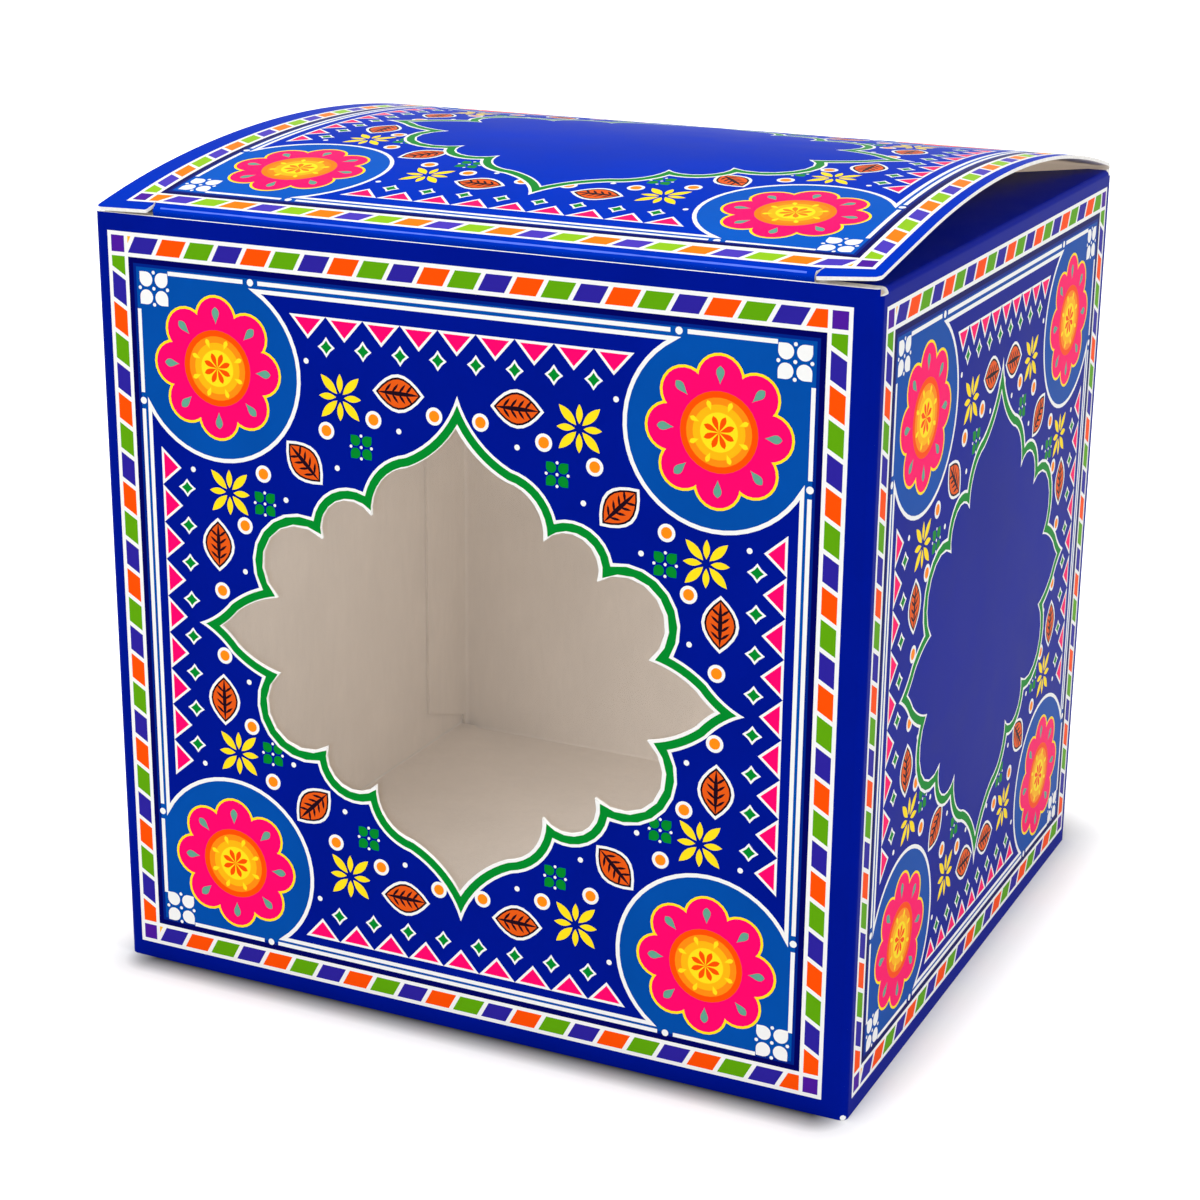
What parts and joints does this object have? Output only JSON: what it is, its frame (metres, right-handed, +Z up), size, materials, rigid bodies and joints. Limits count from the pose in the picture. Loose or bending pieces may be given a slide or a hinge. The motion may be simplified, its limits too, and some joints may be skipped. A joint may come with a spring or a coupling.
{
  "type": "folding gift carton",
  "caption": "Near-cubic folding carton with a bowed tuck-in lid, dust flaps, a tuck-in bottom and a multifoil die-cut window closed by clear film.",
  "frame": {"origin": "middle of the footprint, on the surface that the box stands on", "axes": "+Z up, -Y out of the window side, +X to the right for someone who looks at the window"},
  "size_m": [0.102, 0.094, 0.1063],
  "materials": {
    "printed_board": "glossy varnished print on one side, grey-white board on the other",
    "plain_board": "uncoated grey-white board",
    "clear_film": "clear glossy film"
  },
  "bodies": {
    "root": {"front_wall": "printed_board", "right_wall": "printed_board", "back_wall": "printed_board", "left_wall": "printed_board", "glue_flap": "plain_board", "window_film": "clear_film"},
    "lid": {"lid_panel": "printed_board"},
    "lid_tuck": {"lid_tuck_flap": "printed_board"},
    "left_dust": {"left_dust_flap": "printed_board"},
    "right_dust": {"right_dust_flap": "printed_board"},
    "bottom": {"bottom_panel": "printed_board"},
    "bottom_tuck": {"bottom_tuck_flap": "printed_board"},
    "bottom_left_dust": {"bottom_left_dust_flap": "printed_board"},
    "bottom_right_dust": {"bottom_right_dust_flap": "printed_board"}
  },
  "joints": [
    {"name": "lid_hinge", "type": "hinge", "parent": "root", "child": "lid", "pos_m": [0, 0.047, 0.10075], "axis": [-1, 0, 0], "range_deg": [0, 205]},
    {"name": "lid_tuck_fold", "type": "hinge", "parent": "lid", "child": "lid_tuck", "pos_m": [0, -0.04615, 0.10095], "axis": [-1, 0, 0], "range_deg": [0, 52]},
    {"name": "left_dust_fold", "type": "hinge", "parent": "root", "child": "left_dust", "pos_m": [-0.051, 0, 0.1], "axis": [0, -1, 0], "range_deg": [0, 98]},
    {"name": "right_dust_fold", "type": "hinge", "parent": "root", "child": "right_dust", "pos_m": [0.051, 0, 0.1], "axis": [0, 1, 0], "range_deg": [0, 98]},
    {"name": "bottom_hinge", "type": "hinge", "parent": "root", "child": "bottom", "pos_m": [0, 0.047, 0], "axis": [1, 0, 0], "range_deg": [0, 205]},
    {"name": "bottom_tuck_fold", "type": "hinge", "parent": "bottom", "child": "bottom_tuck", "pos_m": [0, -0.04615, 0], "axis": [1, 0, 0], "range_deg": [0, 52]},
    {"name": "bottom_left_dust_fold", "type": "hinge", "parent": "root", "child": "bottom_left_dust", "pos_m": [-0.051, 0, 0.00038], "axis": [0, 1, 0], "range_deg": [0, 98]},
    {"name": "bottom_right_dust_fold", "type": "hinge", "parent": "root", "child": "bottom_right_dust", "pos_m": [0.051, 0, 0.00038], "axis": [0, -1, 0], "range_deg": [0, 98]}
  ],
  "couplings": [
    {"joint": "lid_tuck_fold", "follows": "lid_hinge", "ratio": 0.24},
    {"joint": "left_dust_fold", "follows": "lid_hinge", "ratio": 0.46},
    {"joint": "right_dust_fold", "follows": "lid_hinge", "ratio": 0.46},
    {"joint": "bottom_tuck_fold", "follows": "bottom_hinge", "ratio": 0.24},
    {"joint": "bottom_left_dust_fold", "follows": "bottom_hinge", "ratio": 0.46},
    {"joint": "bottom_right_dust_fold", "follows": "bottom_hinge", "ratio": 0.46}
  ]
}
